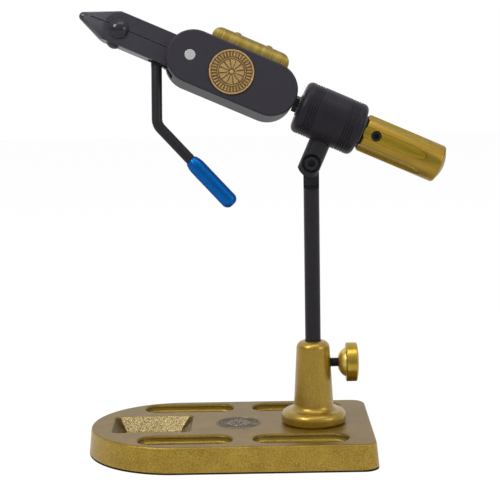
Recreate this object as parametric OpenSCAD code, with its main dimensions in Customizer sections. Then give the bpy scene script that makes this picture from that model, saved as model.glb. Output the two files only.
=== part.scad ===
// Rotary fly tying vise on a heavy pocket base, in millimetres.
// The origin is on the table under the stem, +Z is up, and the jaws point to -X.
// The head is drawn along its own axis and then tilted and rolled as a whole, so the
// tilt and the roll of the head are two driving sizes like any other.

/* [Base] */
// Length of the base at its upper edge, from its round nose to its square rear end
base_l = 171; // [165:1:200]
// Width of the base at its upper edge, which is also the diameter of its nose
base_w = 108; // [100:1:120]
// Thickness of the cast base
base_t = 15; // [13:0.5:20]
// Distance from the stem's axis to the rear end of the base
base_rear = 34; // [30:1:40]
// Radius of the two rear corners
base_corner_r = 9; // [5:1:14]
// Rounding of the upper edge of the base
base_edge_r = 1.4; // [0.6:0.1:2.4]
// Distance by which the cast sides flare out from the upper edge to the foot
base_draft = 1.4; // [0.2:0.1:2.5]
// Thickness of the non-slip sheet under the base
sheet_t = 1; // [0.6:0.1:2]
// Distance by which the sheet stays back from the foot of the base
sheet_inset = 0.8; // [0.3:0.1:3]

/* [Trays] */
// Length of a tool slot, its round ends included
slot_l = 57; // [40:1:58]
// Width of a tool slot
slot_w = 16.6; // [12:0.2:18]
// Depth of a tool slot
slot_depth = 4; // [3:0.2:9]
// Rounding between a slot's floor and its walls
slot_floor_r = 2.4; // [0.5:0.1:2.6]
// Rounding of the upper edges of the slots
slot_lip_r = 0.7; // [0.3:0.1:1]
// Distance of the slots' centre lines from the middle of the base
slot_y = 37.5; // [35:0.5:40]
// Web between a front slot and a rear slot
slot_web = 11.5; // [8:0.5:20]
// Distance from the rear end of the base to the rear slots
slot_rear_gap = 15; // [12:0.5:24]
// Length of the hook tray at its mouth
tray_l = 48; // [40:1:52]
// Width of the hook tray
tray_w = 39; // [30:1:44]
// Depth of the hook tray
tray_depth = 9; // [4:0.5:10]
// Run of the hook tray's sloping walls
tray_slope = 4; // [2:0.2:6]
// Radius of the hook tray's corners at its floor
tray_corner_r = 1; // [0.5:0.1:4]
// Chamfer round the mouth of the hook tray
tray_lip = 0.5; // [0.2:0.1:1]
// Distance from the nose of the base to the hook tray
tray_front_gap = 14.6; // [12:0.2:18]
// Diameter of the plain disc let into the base
base_disc_d = 25.4; // [20:0.2:30]
// Distance from the stem's axis to the disc's centre
base_disc_x = 46.5; // [44:0.5:50]

/* [Pedestal] */
// Height of the pedestal above the base
ped_h = 51; // [48:0.5:70]
// Radius of the pedestal's shaft under its rounded top
ped_top_r = 10.2; // [9.5:0.1:12]
// Radius of the pedestal's shaft where it meets the flange
ped_foot_r = 12.1; // [11.5:0.1:13.5]
// Radius of the flange that sits on the base
ped_flange_r = 19.8; // [18:0.1:21]
// Height of the flange
ped_flange_h = 8.2; // [6:0.1:10]
// Rounding of the flange's upper edge and of the cove above it
ped_cove_r = 4; // [2:0.1:5]
// Rounding of the flange's lower edge
ped_under_r = 1.8; // [0.5:0.1:2]
// Rounding of the pedestal's top
ped_round_r = 4.6; // [3:0.1:4.7]
// Height of the clamp screw's axis above the base
clamp_z = 37.2; // [34:0.2:40]

/* [Stem] */
// Diameter of the stem
stem_d = 9.5; // [8:0.1:10.2]
// Height of the tilt pivot above the table
pivot_z = 176; // [150:1:220]
// Distance from the tilt pivot down to the end of the stem's flat
lap_run = 13.9; // [12:0.1:20]
// Travel by which the stem can be raised
stem_lift = 16; // [5:1:18]

/* [Clamp screw] */
// Diameter of the clamp screw's stud
stud_d = 5.8; // [4:0.1:7]
// Length of the stud seen between pedestal and knob
stud_gap = 4.6; // [3:0.1:10]
// Diameter of the clamp knob
thumb_d = 23.8; // [18:0.2:30]
// Width of the clamp knob's rim
thumb_rim = 7; // [4:0.2:10]
// Length of the conical hub in front of the rim
thumb_hub = 4.6; // [3:0.1:7]
// Radius of the conical hub where it meets the rim
thumb_hub_r = 8.3; // [6:0.1:9]
// Crown of the knob's outer face
thumb_crown = 1.3; // [0.6:0.1:2]

/* [Tilt joint] */
// Upward tilt of the jaws in the photographed pose, in degrees
tilt = 23.75; // [-20:0.25:60]
// Roll of the head about its own axis in the photographed pose, in degrees
roll = 13.3; // [-180:0.1:180]
// Distance from the tilt pivot to the rotary axis
arm_h = 28.75; // [27:0.25:40]
// Diameter of the neck under the barrel
neck_d = 13; // [12:0.1:15]
// Radius of the neck's rounded lower end about the pivot
neck_end_r = 8.5; // [7:0.1:10]
// Height of the neck's half lap above the pivot
neck_lap = 7; // [6:0.1:8]
// Diameter of the tilt screw's shank
tilt_screw_d = 4.8; // [4:0.1:5]
// Diameter of the tilt screw's head
tilt_head_d = 7.9; // [7:0.1:8.4]
// Height of the tilt screw's head
tilt_head_h = 4.8; // [4:0.1:5]
// Diameter of the counterbore round the tilt screw's head
tilt_bore_d = 11.2; // [9:0.1:11.4]
// Depth of metal left in the neck under that counterbore
tilt_floor = 2.6; // [2:0.1:4]

/* [Barrel] */
// Diameter of the barrel
barrel_d = 32; // [30:0.25:36]
// Length of the barrel
barrel_l = 39.6; // [36:0.2:44]
// Distance of the barrel's middle in front of the neck
barrel_set = 0.2; // [-0.5:0.1:1]
// Rounding of the barrel's ends
barrel_round = 3.5; // [2:0.1:4]
// Number of grip grooves at each end of the barrel
grooves = 4; // [1:1:5]
// Distance from the barrel's end to its first groove
groove_start = 5.7; // [4:0.1:7]
// Distance from one groove to the next
groove_pitch = 1.6; // [1.2:0.1:2.4]
// Radius of the round bottomed grooves
groove_r = 0.4; // [0.3:0.05:0.6]
// Diameter of the rotary shaft in its bushes
shaft_d = 9.5; // [8:0.1:10]
// Outer diameter of the bushes
bush_d = 16; // [14:0.1:17]
// Length of a bush
bush_l = 12; // [8:0.5:16]

/* [Rotary knob] */
// Diameter of the rotary knob
knob_d = 22.9; // [20:0.1:28]
// Length of the rotary knob
knob_l = 50.6; // [44:0.2:60]
// Number of flutes round the rotary knob
flutes = 6; // [4:1:6]
// Radius of the cutter that hollows a flute
flute_r = 11; // [9:0.5:16]
// Depth of a flute
flute_depth = 1.15; // [0.6:0.05:1.5]
// Share of the knob's length that the flutes reach before they run out
flute_share = 0.62; // [0.5:0.01:0.66]
// Radius of the wheel that lets each flute run out
flute_wheel_r = 70; // [40:1:90]
// Rounding of the knob's ends
knob_round = 1.8; // [0.5:0.1:2.5]
// Diameter of the knob's set screw
set_screw_d = 6.3; // [4:0.1:6.6]
// Distance from the knob's front face to its set screw
set_screw_x = 7.9; // [6:0.1:12]

/* [Head] */
// Length of the head body
head_l = 81.5; // [80:0.1:84]
// Height of the head body, which is also the diameter of its round ends
head_h = 32.4; // [31:0.1:34]
// Thickness of the head body
head_t = 25.4; // [22:0.1:28]
// Chamfer round both faces of the head body
head_chamfer = 0.9; // [0.5:0.1:2.5]
// Gap between the head body and the barrel
head_gap = 3.6; // [3.4:0.1:5]
// Distance from the head's front to the lever's pivot pin
pin_x = 13.7; // [12.5:0.1:14.4]
// Diameter of the lever's pivot pin
pin_d = 6.3; // [5.5:0.1:7.2]
// Distance from the lever's pivot pin back to the jaws' anchor pins
anchor_x = 26.4; // [25:0.1:28]
// Diameter of a jaw's anchor pin
anchor_d = 4; // [3:0.1:4.4]
// Diameter of the disc on the head
disc_d = 27; // [22:0.2:28]
// Thickness of the disc
disc_t = 1.8; // [1:0.1:2.4]
// Depth of the recess that holds the disc
disc_recess = 0.9; // [0.5:0.1:1]

/* [Thumb rest] */
// Length of the thumb rest
rest_l = 48.8; // [40:0.2:52]
// Height of the thumb rest above the head
rest_h = 9.2; // [8.6:0.1:11]
// Width of the thumb rest, whose upper side is half round
rest_w = 15; // [12:0.2:17]
// Rounding of the thumb rest's front end
rest_nose_r = 7; // [2:0.1:7]
// Rounding of the thumb rest's rear end
rest_tail_r = 8; // [3:0.1:8.4]
// Distance from the head's front to the thumb rest
rest_x = 21; // [18:0.2:22]
// Distance between the two screws of the thumb rest
rest_screw_pitch = 20.1; // [16:0.1:24]
// Diameter of a thumb rest screw
rest_screw_d = 3; // [2.5:0.1:3.5]
// Diameter of the head of a thumb rest screw
rest_head_d = 5.4; // [4.5:0.1:6.2]

/* [Jaws] */
// Reach of the jaws in front of the head
jaw_reach = 56; // [50:0.1:62]
// Width of both jaws, across the head
jaw_w = 9.9; // [8.6:0.1:10.5]
// Height of the closed pair of jaws
jaw_h = 19.8; // [19.2:0.1:20.4]
// Distance of the jaws' middle below the rotary axis
jaw_sink = 0.3; // [0:0.05:0.5]
// Half angle of the turned nose, in degrees
nose_angle = 24; // [20:0.5:28]
// Radius of the blunt tip
tip_r = 2.7; // [2:0.1:3]
// Distance of the nose's axis below the rotary axis, which puts the hook shank on the axis
nose_drop = 1.2; // [0:0.05:1.5]
// Angle at which the sides of the nose fall away, in degrees
side_angle = 9; // [5:0.5:11]
// Radius of the flat round the guide pin where the sides start to fall away
side_flat_r = 9.4; // [8.6:0.1:10]
// Distance from the tip to the guide pin
guide_x = 25; // [24:0.1:28]
// Distance of the guide pin's axis below the rotary axis
guide_drop = 0.85; // [0.4:0.05:0.9]
// Diameter of the guide pin
guide_d = 5; // [4:0.1:5.6]
// Diameter of the guide pin's domed heads
guide_head_d = 11.7; // [9:0.1:12.4]
// Height of the guide pin's domed heads
guide_head_h = 3.6; // [2.2:0.1:4]
// Diameter of the screw head under the lower jaw
under_head_d = 8.6; // [7:0.1:9.4]
// Height of that screw head
under_head_h = 2.1; // [1.4:0.1:2.6]
// Gap between the closed jaws behind their tips
split_gap = 0.5; // [0.4:0.05:0.9]
// Length of the tips that meet
tip_land = 7; // [4:0.5:10]

/* [Lever] */
// Travel of the lever, in degrees
lever_travel = 22; // [10:1:22]
// Travel of each jaw, in degrees
jaw_travel = 1.8; // [0.8:0.1:1.8]
// Diameter of the lever rod
rod_d = 6.35; // [5:0.05:7]
// Angle of the lever rod's upper run below the rotary axis, in degrees
rod_angle = 67; // [60:1:75]
// Length of the rod's upper run to the corner of its bend
rod_upper = 34.6; // [30:0.2:44]
// Angle by which the rod bends
rod_bend = 43; // [30:1:55]
// Radius of the rod's centre line in the bend
rod_bend_r = 8.5; // [5:0.5:14]
// Length from the corner of the bend to the grip
rod_lower = 29.4; // [22:0.2:36]
// Length of the grip
grip_l = 35.1; // [28:0.1:44]
// Diameter of the grip
grip_d = 9.7; // [8:0.1:12]
// Diameter of the grip's front end
grip_front_d = 7.4; // [7.2:0.1:7.9]
// Length over which the grip's front swells to its full diameter
grip_swell = 6; // [3:0.2:9]
// Rounding of the grip's rear end
grip_round = 3.8; // [1:0.1:3.8]
// Thickness of the cam plate
cam_t = 4.8; // [4:0.1:5]

/* [Hidden] */
$fn = 72;

// Shared clearances and the one overrun that every cut uses
over = 1;
run_fit = 0.05;
seat_fit = 0.03;
face_fit = 0.06;

// Base
top_z = sheet_t + base_t;
nose_r = base_w / 2;
nose_x = base_rear - base_l;
slot_front_x = base_rear - slot_rear_gap - 2 * slot_l - slot_web;
slot_rear_x = base_rear - slot_rear_gap - slot_l;
tray_x = nose_x + tray_front_gap;
base_disc_t = 1.6;
base_disc_depth = 1.45;
disc_rim_share = 0.09;
disc_ring_shares = [0.30, 0.52, 0.74];
disc_ring_r = 0.35;

// Pedestal and its bolt
bolt_d = 8;
bolt_head_d = 13;
bolt_head_h = 8;
bolt_hex = 6;
bolt_washer_d = 16;
bolt_washer_t = 1.6;
bolt_bore_d = 17.5;
bolt_reach = 10.5;
socket_floor = 12.5;
bore_r = stem_d / 2 + run_fit;
bore_mouth = 0.6;
clamp_abs_z = top_z + clamp_z;
ped_wall_r = ped_foot_r + (ped_top_r - ped_foot_r)
    * (clamp_z - ped_flange_h - ped_cove_r) / (ped_h - ped_round_r - ped_flange_h - ped_cove_r);

// Stem
foot_flange_t = 3;
foot_spigot_d = 5;
foot_spigot_h = 6;
foot_z = top_z + socket_floor;
stem_z = foot_z + foot_flange_t + face_fit;
lap_drop = 2.7;

// Clamp screw, along X from the stem outwards
tip_step = 0.5;
tip_d = stud_d - 2 * tip_step;
tip_len = 2.6;
tip_nub_d = 2.6;
tip_nub_l = 2;
tip_x = stem_d / 2 + run_fit;
stud_x = tip_x + tip_len + run_fit;
thumb_x = ped_wall_r + stud_gap;
thumb_front_r = 4;
thumb_edge = 0.7;
stud_in_knob = thumb_hub + thumb_rim / 2;
stud_collar_step = 0.6;
stud_collar_r = stud_d / 2 + stud_collar_step;
stud_collar_l = 1.5;

// Neck, tilt screw and barrel
neck_r = neck_d / 2;
barrel_r = barrel_d / 2;
barrel_wall_in = bush_d / 2;
neck_land = 2;
neck_top = arm_h - barrel_wall_in - neck_land;
tilt_hex = 4;
tilt_hex_depth = 2.6;
tilt_short = 0.4;
hex_corner = 1 / cos(30);

// Shaft, nut, washers and knob, along X from above the pivot
barrel_front = -barrel_l / 2 - barrel_set;
barrel_back = barrel_l / 2 - barrel_set;
washer_t = 0.6;
washer_d = 13;
rear_washer_t = 1.1;
rear_washer_d = 20;
head_rear = barrel_front - head_gap;
stud_front_d = 4.8;
stud_front_l = 19;
nut_af = 8.8;
nut_t = head_gap - washer_t - 4 * face_fit;
shaft_shoulder = head_rear + nut_t + 2 * face_fit;
knob_x = barrel_back + rear_washer_t + 4 * face_fit;
knob_r = knob_d / 2;
shaft_share = 0.78;
shaft_end = knob_x + shaft_share * knob_l;
flute_phase = 6.9;
wheel_arc = 40;
set_screw_hex = 3.2;
set_screw_hex_depth = 2.4;
set_screw_sink = 0.4;
crown_share = 0.05;

// Head
head_r = head_h / 2;
head_front = head_rear - head_l;
front_cx = head_front + head_r;
rear_cx = head_rear - head_r;
pin_u = head_front + pin_x;
anchor_u = pin_u + anchor_x;
anchor_w = jaw_h / 4;
slot_side_fit = 0.3;
slot_swing_fit = 1.6;
slot_end_fit = 0.7;
slot_half_w = jaw_w / 2 + slot_side_fit;
slot_half_h = jaw_h / 2 + jaw_sink + slot_swing_fit;
root_extra = 4.5;
slot_end = anchor_u + root_extra + slot_end_fit;
anchor_blind = 2;
notch_end = 8.7;
disc_u = anchor_u;

// Thumb rest
rest_front = head_front + rest_x;
rest_mid = rest_front + rest_l / 2;
rest_base = head_r + seat_fit;
rest_head_h = 1.7;
rest_head_show = 0.95;
rest_head_rim = 0.4;
rest_seat = rest_h - rest_head_h + rest_head_show;
rest_screw_l = 4;

// Jaws
jaw_tip = head_front - jaw_reach;
guide_u = jaw_tip + guide_x;
jaw_root = anchor_u + root_extra;
jaw_half_h = jaw_h / 2;
jaw_under = jaw_half_h + jaw_sink;
tip_gap = 0.06;
nose_max_r = sqrt(pow(jaw_w / 2, 2) + pow(jaw_half_h + nose_drop, 2)) + over;
lens_r = guide_x + over;
guide_groove_fit = 0.25;
guide_rim = 0.7;
under_screw_d = 3;

// Cam: a hub with two noses, one under the upper jaw and one over the lower jaw
cam_hub_r = 5;
cam_nose_r = 4;
cam_nose_w = 1.5;
cam_front_u = 2.6;
cam_rear_u = 2.25;
cam_gap = 0.12;
cam_slot_fit = 0.3;
cam_recess = cam_nose_r + cam_nose_w + cam_gap;
cam_recess_half = 8.2;
cam_top_share = [-0.7, 0.71];
cam_elbow_share = [-1.84, -1.2];
cam_back_share = [-0.8, -0.6];
cam_heel = [2.5, -0.5];
arm_slot_front = 22;
arm_slot_end = 3.6;

// Lever rod: its upper end as seen from the pivot pin
rod_top_u = -15.8;
rod_top_w = -12.1;
rod_r = rod_d / 2;
rod_spigot_d = 3;
rod_spigot_l = 5;
bend_tangent = rod_bend_r * tan(rod_bend / 2);
rod_in_grip = 26;

// The tilted frame with its origin at the pivot, +X to the rear and +Z up the neck
module at_pivot() {
    translate([0, 0, pivot_z]) rotate([0, tilt, 0]) children();
}

// The same frame moved up to the rotary axis
module at_axis() {
    at_pivot() translate([0, 0, arm_h]) children();
}

// The frame of everything that turns with the head
module at_head() {
    at_axis() rotate([-roll, 0, 0]) children();
}

// Turns a shape drawn along +Z so that it lies along +X
module along_x() {
    rotate([0, 90, 0]) children();
}

// Turns a shape drawn along +Z so that it lies along +Y
module along_y() {
    rotate([-90, 0, 0]) children();
}

// A cylinder along Y with its middle at y = 0
module cross_cylinder(r, l) {
    along_y() cylinder(r = r, h = l, center = true);
}

// A six-sided prism of the given size across its flats
module hex_prism(flats, h) {
    cylinder(r = flats / 2 * hex_corner, h = h, $fn = 6);
}

// The low dome of a turned head: radius r, height h, flat side at z = 0
module dome(r, h, rim = 0) {
    cap = h - rim;
    ball = (r * r + cap * cap) / (2 * cap);
    intersection() {
        translate([0, 0, h - ball]) sphere(r = ball);
        cylinder(r = r, h = h + over);
    }
}

// Outline of the base's upper edge, drawn in by inset
module base_outline(inset = 0) {
    r = base_corner_r;
    translate([nose_x + nose_r, 0]) circle(r = nose_r - inset);
    translate([nose_x + nose_r, inset - nose_r]) square([base_l - nose_r - r, base_w - 2 * inset]);
    translate([base_rear - 2 * r, r - nose_r]) square([2 * r - inset, base_w - 2 * r]);
    for (side = [-1, 1])
        translate([base_rear - r, side * (nose_r - r)]) circle(r = r - inset);
}

// Section from a line r inside the upper edge out to the drafted and rounded side
module base_side_section(r) {
    e = base_edge_r;
    polygon([
        [0, 0],
        [r + base_draft, 0],
        [r, base_t - e],
        [r - e, base_t - e],
        [r - e, base_t],
        [0, base_t]]);
    translate([r - e, base_t - e]) circle(r = e);
}

// The base before its recesses: half a round nose, two sides, two corners and the rear
module base_blank() {
    corner_x = base_rear - base_corner_r;
    corner_y = nose_r - base_corner_r;
    translate([nose_x + nose_r, 0, 0]) rotate([0, 0, 90])
        rotate_extrude(angle = 180) base_side_section(nose_r);
    for (side = [0, 1]) mirror([0, side, 0]) {
        translate([nose_x + nose_r, 0, 0]) rotate([90, 0, 90])
            linear_extrude(height = base_l - nose_r - base_corner_r) base_side_section(nose_r);
        translate([corner_x, corner_y, 0])
            rotate_extrude(angle = 90) base_side_section(base_corner_r);
    }
    translate([corner_x, corner_y, 0]) rotate([90, 0, 0])
        linear_extrude(height = 2 * corner_y) base_side_section(base_corner_r);
}

// Half section of a tool slot, from the middle of its floor to its rounded lip
module slot_half() {
    half = slot_w / 2;
    square([half - slot_floor_r, slot_depth]);
    translate([half - slot_floor_r, slot_floor_r]) circle(r = slot_floor_r);
    translate([0, slot_floor_r]) square([half, slot_depth - slot_floor_r + over]);
    translate([half, slot_depth - slot_lip_r]) difference() {
        square([slot_lip_r, slot_lip_r + over]);
        translate([slot_lip_r, 0]) circle(r = slot_lip_r);
    }
}

// One tool slot with round ends, its front end at x
module tool_slot(x, y) {
    run = slot_l - slot_w;
    translate([x + slot_w / 2, y, top_z - slot_depth]) {
        rotate_extrude() slot_half();
        translate([run, 0, 0]) rotate_extrude() slot_half();
        rotate([90, 0, 90]) linear_extrude(height = run) {
            slot_half();
            mirror([1, 0]) slot_half();
        }
    }
}

// Section of a trough that is mouth wide at height deep and narrows by run on both sides
module trough_section(mouth, run, deep) {
    grow = run / deep * over;
    polygon([
        [run - mouth / 2, 0],
        [mouth / 2 - run, 0],
        [mouth / 2 + grow, deep + over],
        [-mouth / 2 - grow, deep + over]]);
}

// A pocket whose walls slope by run and whose corners are cones, its floor at the origin
module sloped_pocket(l, w, r, run, deep) {
    flat_l = l - 2 * (r + run);
    flat_w = w - 2 * (r + run);
    grow = run / deep * over;
    translate([0, flat_w / 2, 0]) rotate([90, 0, 0])
        linear_extrude(height = flat_w) trough_section(l, run, deep);
    translate([-flat_l / 2, 0, 0]) rotate([90, 0, 90])
        linear_extrude(height = flat_l) trough_section(w, run, deep);
    for (x = [-flat_l / 2, flat_l / 2], y = [-flat_w / 2, flat_w / 2])
        translate([x, y, 0]) cylinder(r1 = r, r2 = r + run + grow, h = deep + over);
}

// The hook tray, whose four walls slope to a flat floor, with a chamfer round its mouth
module hook_tray() {
    translate([tray_x + tray_l / 2, 0, top_z - tray_depth])
        sloped_pocket(tray_l, tray_w, tray_corner_r, tray_slope, tray_depth);
    translate([tray_x + tray_l / 2, 0, top_z - tray_lip])
        sloped_pocket(tray_l + 2 * tray_lip, tray_w + 2 * tray_lip,
            tray_corner_r + tray_slope, tray_lip, tray_lip);
}

module pocket_base() {
    color("darkkhaki") difference() {
        translate([0, 0, sheet_t]) base_blank();
        for (x = [slot_front_x, slot_rear_x], y = [-slot_y, slot_y]) tool_slot(x, y);
        hook_tray();
        translate([-base_disc_x, 0, top_z - base_disc_depth])
            cylinder(r = base_disc_d / 2 + seat_fit, h = base_disc_depth + over);
        translate([0, 0, sheet_t - over])
            cylinder(r = bolt_d / 2 + run_fit, h = base_t + 2 * over);
        translate([0, 0, sheet_t - over])
            cylinder(r = bolt_bore_d / 2, h = bolt_head_h + bolt_washer_t + over + face_fit);
    }
}

module base_sheet() {
    color("black") linear_extrude(height = sheet_t) base_outline(sheet_inset - base_draft);
}

// A struck disc with a raised rim and plain rings, as it lies in its recess
module struck_disc(d, t) {
    r = d / 2;
    rim = r * disc_rim_share;
    difference() {
        cylinder(r = r, h = t);
        translate([0, 0, t - disc_ring_r]) cylinder(r = r - rim, h = disc_ring_r + over);
    }
    for (share = disc_ring_shares)
        translate([0, 0, t - disc_ring_r]) rotate_extrude()
            translate([r * share, 0]) circle(r = disc_ring_r / 2, $fn = 24);
}

module base_disc() {
    color("dimgray") translate([-base_disc_x, 0, top_z - base_disc_depth])
        struck_disc(base_disc_d, base_disc_t);
}

// Half section of the pedestal, with its flange, cove, taper and rounded top
module pedestal_section() {
    c = ped_cove_r;
    cove_x = ped_foot_r + c;
    cove_z = ped_flange_h + c;
    q = ped_under_r;
    translate([0, q]) square([ped_flange_r, ped_flange_h - c - q]);
    translate([ped_flange_r - q, q]) circle(r = q);
    square([ped_flange_r - q, ped_flange_h - c]);
    translate([ped_flange_r - c, ped_flange_h - c]) circle(r = c);
    square([ped_flange_r - c, ped_flange_h]);
    difference() {
        square([cove_x, cove_z]);
        translate([cove_x, cove_z]) circle(r = c);
    }
    polygon([
        [0, cove_z],
        [ped_foot_r, cove_z],
        [ped_top_r, ped_h - ped_round_r],
        [0, ped_h - ped_round_r]]);
    translate([ped_top_r - ped_round_r, ped_h - ped_round_r]) circle(r = ped_round_r);
    square([ped_top_r - ped_round_r, ped_h]);
}

module pedestal() {
    color("goldenrod") translate([0, 0, top_z]) difference() {
        rotate_extrude() intersection() {
            pedestal_section();
            square([ped_flange_r + over, ped_h + over]);
        }
        translate([0, 0, socket_floor]) cylinder(r = bore_r, h = ped_h);
        translate([0, 0, ped_h - bore_mouth])
            cylinder(r1 = bore_r, r2 = bore_r + bore_mouth + over, h = bore_mouth + over);
        translate([0, 0, -over]) cylinder(r = bolt_d / 2 + seat_fit, h = bolt_reach + 2 * over);
        translate([0, 0, clamp_z]) along_x()
            cylinder(r = stud_d / 2 + run_fit, h = ped_flange_r);
    }
}

module pedestal_bolt() {
    color("dimgray") translate([0, 0, sheet_t]) difference() {
        union() {
            cylinder(r = bolt_head_d / 2, h = bolt_head_h);
            cylinder(r = bolt_d / 2, h = base_t + bolt_reach);
        }
        translate([0, 0, -over]) hex_prism(bolt_hex, bolt_head_h / 2 + over);
    }
}

module pedestal_washer() {
    color("silver") translate([0, 0, sheet_t + bolt_head_h]) difference() {
        cylinder(r = bolt_washer_d / 2, h = bolt_washer_t);
        translate([0, 0, -over])
            cylinder(r = bolt_d / 2 + run_fit, h = bolt_washer_t + 2 * over);
    }
}

module clamp_tip() {
    color("goldenrod") translate([tip_x, 0, clamp_abs_z]) along_x() {
        cylinder(r = tip_d / 2, h = tip_len);
        cylinder(r = tip_nub_d / 2, h = tip_len + tip_nub_l);
    }
}

module clamp_stud() {
    l = thumb_x + stud_in_knob - stud_x;
    color("black") translate([stud_x, 0, clamp_abs_z]) along_x() difference() {
        union() {
            cylinder(r = stud_d / 2, h = l);
            translate([0, 0, thumb_x - seat_fit - stud_collar_l - stud_x])
                cylinder(r1 = stud_d / 2, r2 = stud_collar_r, h = stud_collar_l);
        }
        translate([0, 0, -over])
            cylinder(r = tip_nub_d / 2 + run_fit, h = over + tip_nub_l + run_fit);
    }
}

// Half section of the clamp knob: conical hub, wide rim and crowned face
module thumb_section() {
    rim_r = thumb_d / 2;
    e = thumb_edge;
    polygon([
        [0, 0],
        [thumb_front_r, 0],
        [thumb_hub_r, thumb_hub],
        [thumb_hub_r, thumb_hub + e],
        [0, thumb_hub + e]]);
    translate([0, thumb_hub]) {
        square([rim_r - e, thumb_rim]);
        translate([0, e]) square([rim_r, thumb_rim - 2 * e]);
        translate([rim_r - e, e]) circle(r = e);
        translate([rim_r - e, thumb_rim - e]) circle(r = e);
    }
}

module clamp_knob() {
    color("goldenrod") translate([thumb_x, 0, clamp_abs_z]) along_x() difference() {
        union() {
            rotate_extrude() intersection() {
                thumb_section();
                square([thumb_d, thumb_hub + thumb_rim]);
            }
            translate([0, 0, thumb_hub + thumb_rim]) dome(thumb_d / 2 - thumb_edge, thumb_crown);
        }
        translate([0, 0, -over]) cylinder(r = stud_d / 2 + seat_fit, h = stud_in_knob + over);
    }
}

module stem_foot() {
    color("ivory") translate([0, 0, foot_z]) {
        cylinder(r = stem_d / 2 - run_fit, h = foot_flange_t);
        cylinder(r = foot_spigot_d / 2, h = foot_flange_t + foot_spigot_h);
    }
}

module stem() {
    r = stem_d / 2;
    color("black") difference() {
        intersection() {
            translate([0, 0, stem_z]) cylinder(r = r, h = pivot_z + stem_d - stem_z);
            union() {
                translate([0, 0, (stem_z + pivot_z) / 2])
                    cube([stem_d + over, stem_d + over, pivot_z - stem_z], center = true);
                translate([0, 0, pivot_z]) cross_cylinder(r, stem_d + over);
            }
        }
        translate([0, 0, stem_z - over])
            cylinder(r = foot_spigot_d / 2 + run_fit, h = over + foot_spigot_h + face_fit);
        translate([-r - over, 0, pivot_z]) rotate([90, 0, 90])
            linear_extrude(height = stem_d + 2 * over) polygon([
                [face_fit / 2, -lap_run],
                [-r - over, -lap_run - lap_drop * (r + over) / r],
                [-r - over, stem_d],
                [face_fit / 2, stem_d]]);
        translate([0, 0, pivot_z]) cross_cylinder(tilt_screw_d / 2 + seat_fit, 2 * stem_d);
    }
}

module tilt_screw() {
    under = tilt_floor + face_fit;
    tail = under + stem_d / 2 - tilt_short;
    color("black") at_pivot() translate([0, -under, 0]) rotate([90, 0, 0]) difference() {
        union() {
            cylinder(r = tilt_head_d / 2, h = tilt_head_h);
            translate([0, 0, -tail]) cylinder(r = tilt_screw_d / 2, h = tail + tilt_head_h);
        }
        translate([0, 0, tilt_head_h - tilt_hex_depth])
            hex_prism(tilt_hex, tilt_hex_depth + over);
    }
}

module neck() {
    color("black") at_pivot() difference() {
        intersection() {
            translate([0, 0, -neck_end_r]) cylinder(r = neck_r, h = neck_end_r + neck_top);
            union() {
                cross_cylinder(neck_end_r, neck_d + over);
                translate([-neck_d, -neck_d, 0]) cube([2 * neck_d, 2 * neck_d, neck_top]);
            }
        }
        translate([-neck_d, -face_fit / 2, -neck_end_r - over])
            cube([2 * neck_d, neck_d, neck_end_r + over + neck_lap]);
        cross_cylinder(tilt_screw_d / 2 + run_fit, 2 * neck_d);
        translate([0, -tilt_floor, 0]) rotate([90, 0, 0])
            cylinder(r = tilt_bore_d / 2, h = neck_d);
    }
}

// Half section of the barrel, with rounded ends and the grip grooves
module barrel_section() {
    e = barrel_round;
    difference() {
        union() {
            square([barrel_r - e, barrel_l]);
            translate([0, e]) square([barrel_r, barrel_l - 2 * e]);
            for (z = [e, barrel_l - e]) translate([barrel_r - e, z]) circle(r = e);
        }
        square([barrel_wall_in + seat_fit, barrel_l]);
        for (i = [0 : grooves - 1], end = [0, 1]) {
            z = groove_start + i * groove_pitch;
            translate([barrel_r, end == 0 ? z : barrel_l - z]) circle(r = groove_r, $fn = 24);
        }
    }
}

module barrel_housing() {
    color("black") at_axis() difference() {
        translate([barrel_front, 0, 0]) along_x() rotate_extrude() intersection() {
            barrel_section();
            square([barrel_r, barrel_l]);
        }
        translate([0, 0, -arm_h]) cylinder(r = neck_r + seat_fit, h = neck_top + seat_fit);
    }
}

// A plain bush whose front end is at x
module bush(x) {
    at_axis() translate([x, 0, 0]) along_x() difference() {
        cylinder(r = bush_d / 2, h = bush_l);
        translate([0, 0, -over]) cylinder(r = shaft_d / 2 + run_fit, h = bush_l + 2 * over);
    }
}

module front_bush() {
    color("peru") bush(barrel_front);
}

module rear_bush() {
    color("peru") bush(barrel_back - bush_l);
}

module rotor_shaft() {
    color("silver") at_head() {
        translate([shaft_shoulder, 0, 0]) along_x()
            cylinder(r = shaft_d / 2, h = shaft_end - shaft_shoulder);
        translate([head_rear - stud_front_l, 0, 0]) along_x()
            cylinder(r = stud_front_d / 2, h = stud_front_l + shaft_end - head_rear);
    }
}

module jam_nut() {
    color("black") at_head() translate([head_rear + face_fit, 0, 0]) along_x() difference() {
        hex_prism(nut_af, nut_t);
        translate([0, 0, -over]) cylinder(r = stud_front_d / 2 + seat_fit, h = nut_t + 2 * over);
    }
}

// A flat washer on the shaft, its front face at x
module shaft_washer(x, d, t) {
    at_head() translate([x, 0, 0]) along_x() difference() {
        cylinder(r = d / 2, h = t);
        translate([0, 0, -over]) cylinder(r = shaft_d / 2 + run_fit, h = t + 2 * over);
    }
}

module front_washer() {
    color("black") shaft_washer(shaft_shoulder + face_fit, washer_d, washer_t);
}

module rear_washer() {
    color("black") shaft_washer(barrel_back + 2 * face_fit, rear_washer_d, rear_washer_t);
}

// Half section of the knob, with rounded ends and a crowned rear face
module knob_section() {
    e = knob_round;
    square([knob_r - e, knob_l]);
    translate([0, e]) square([knob_r, knob_l - 2 * e]);
    for (z = [e, knob_l - e]) translate([knob_r - e, z]) circle(r = e);
}

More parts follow.
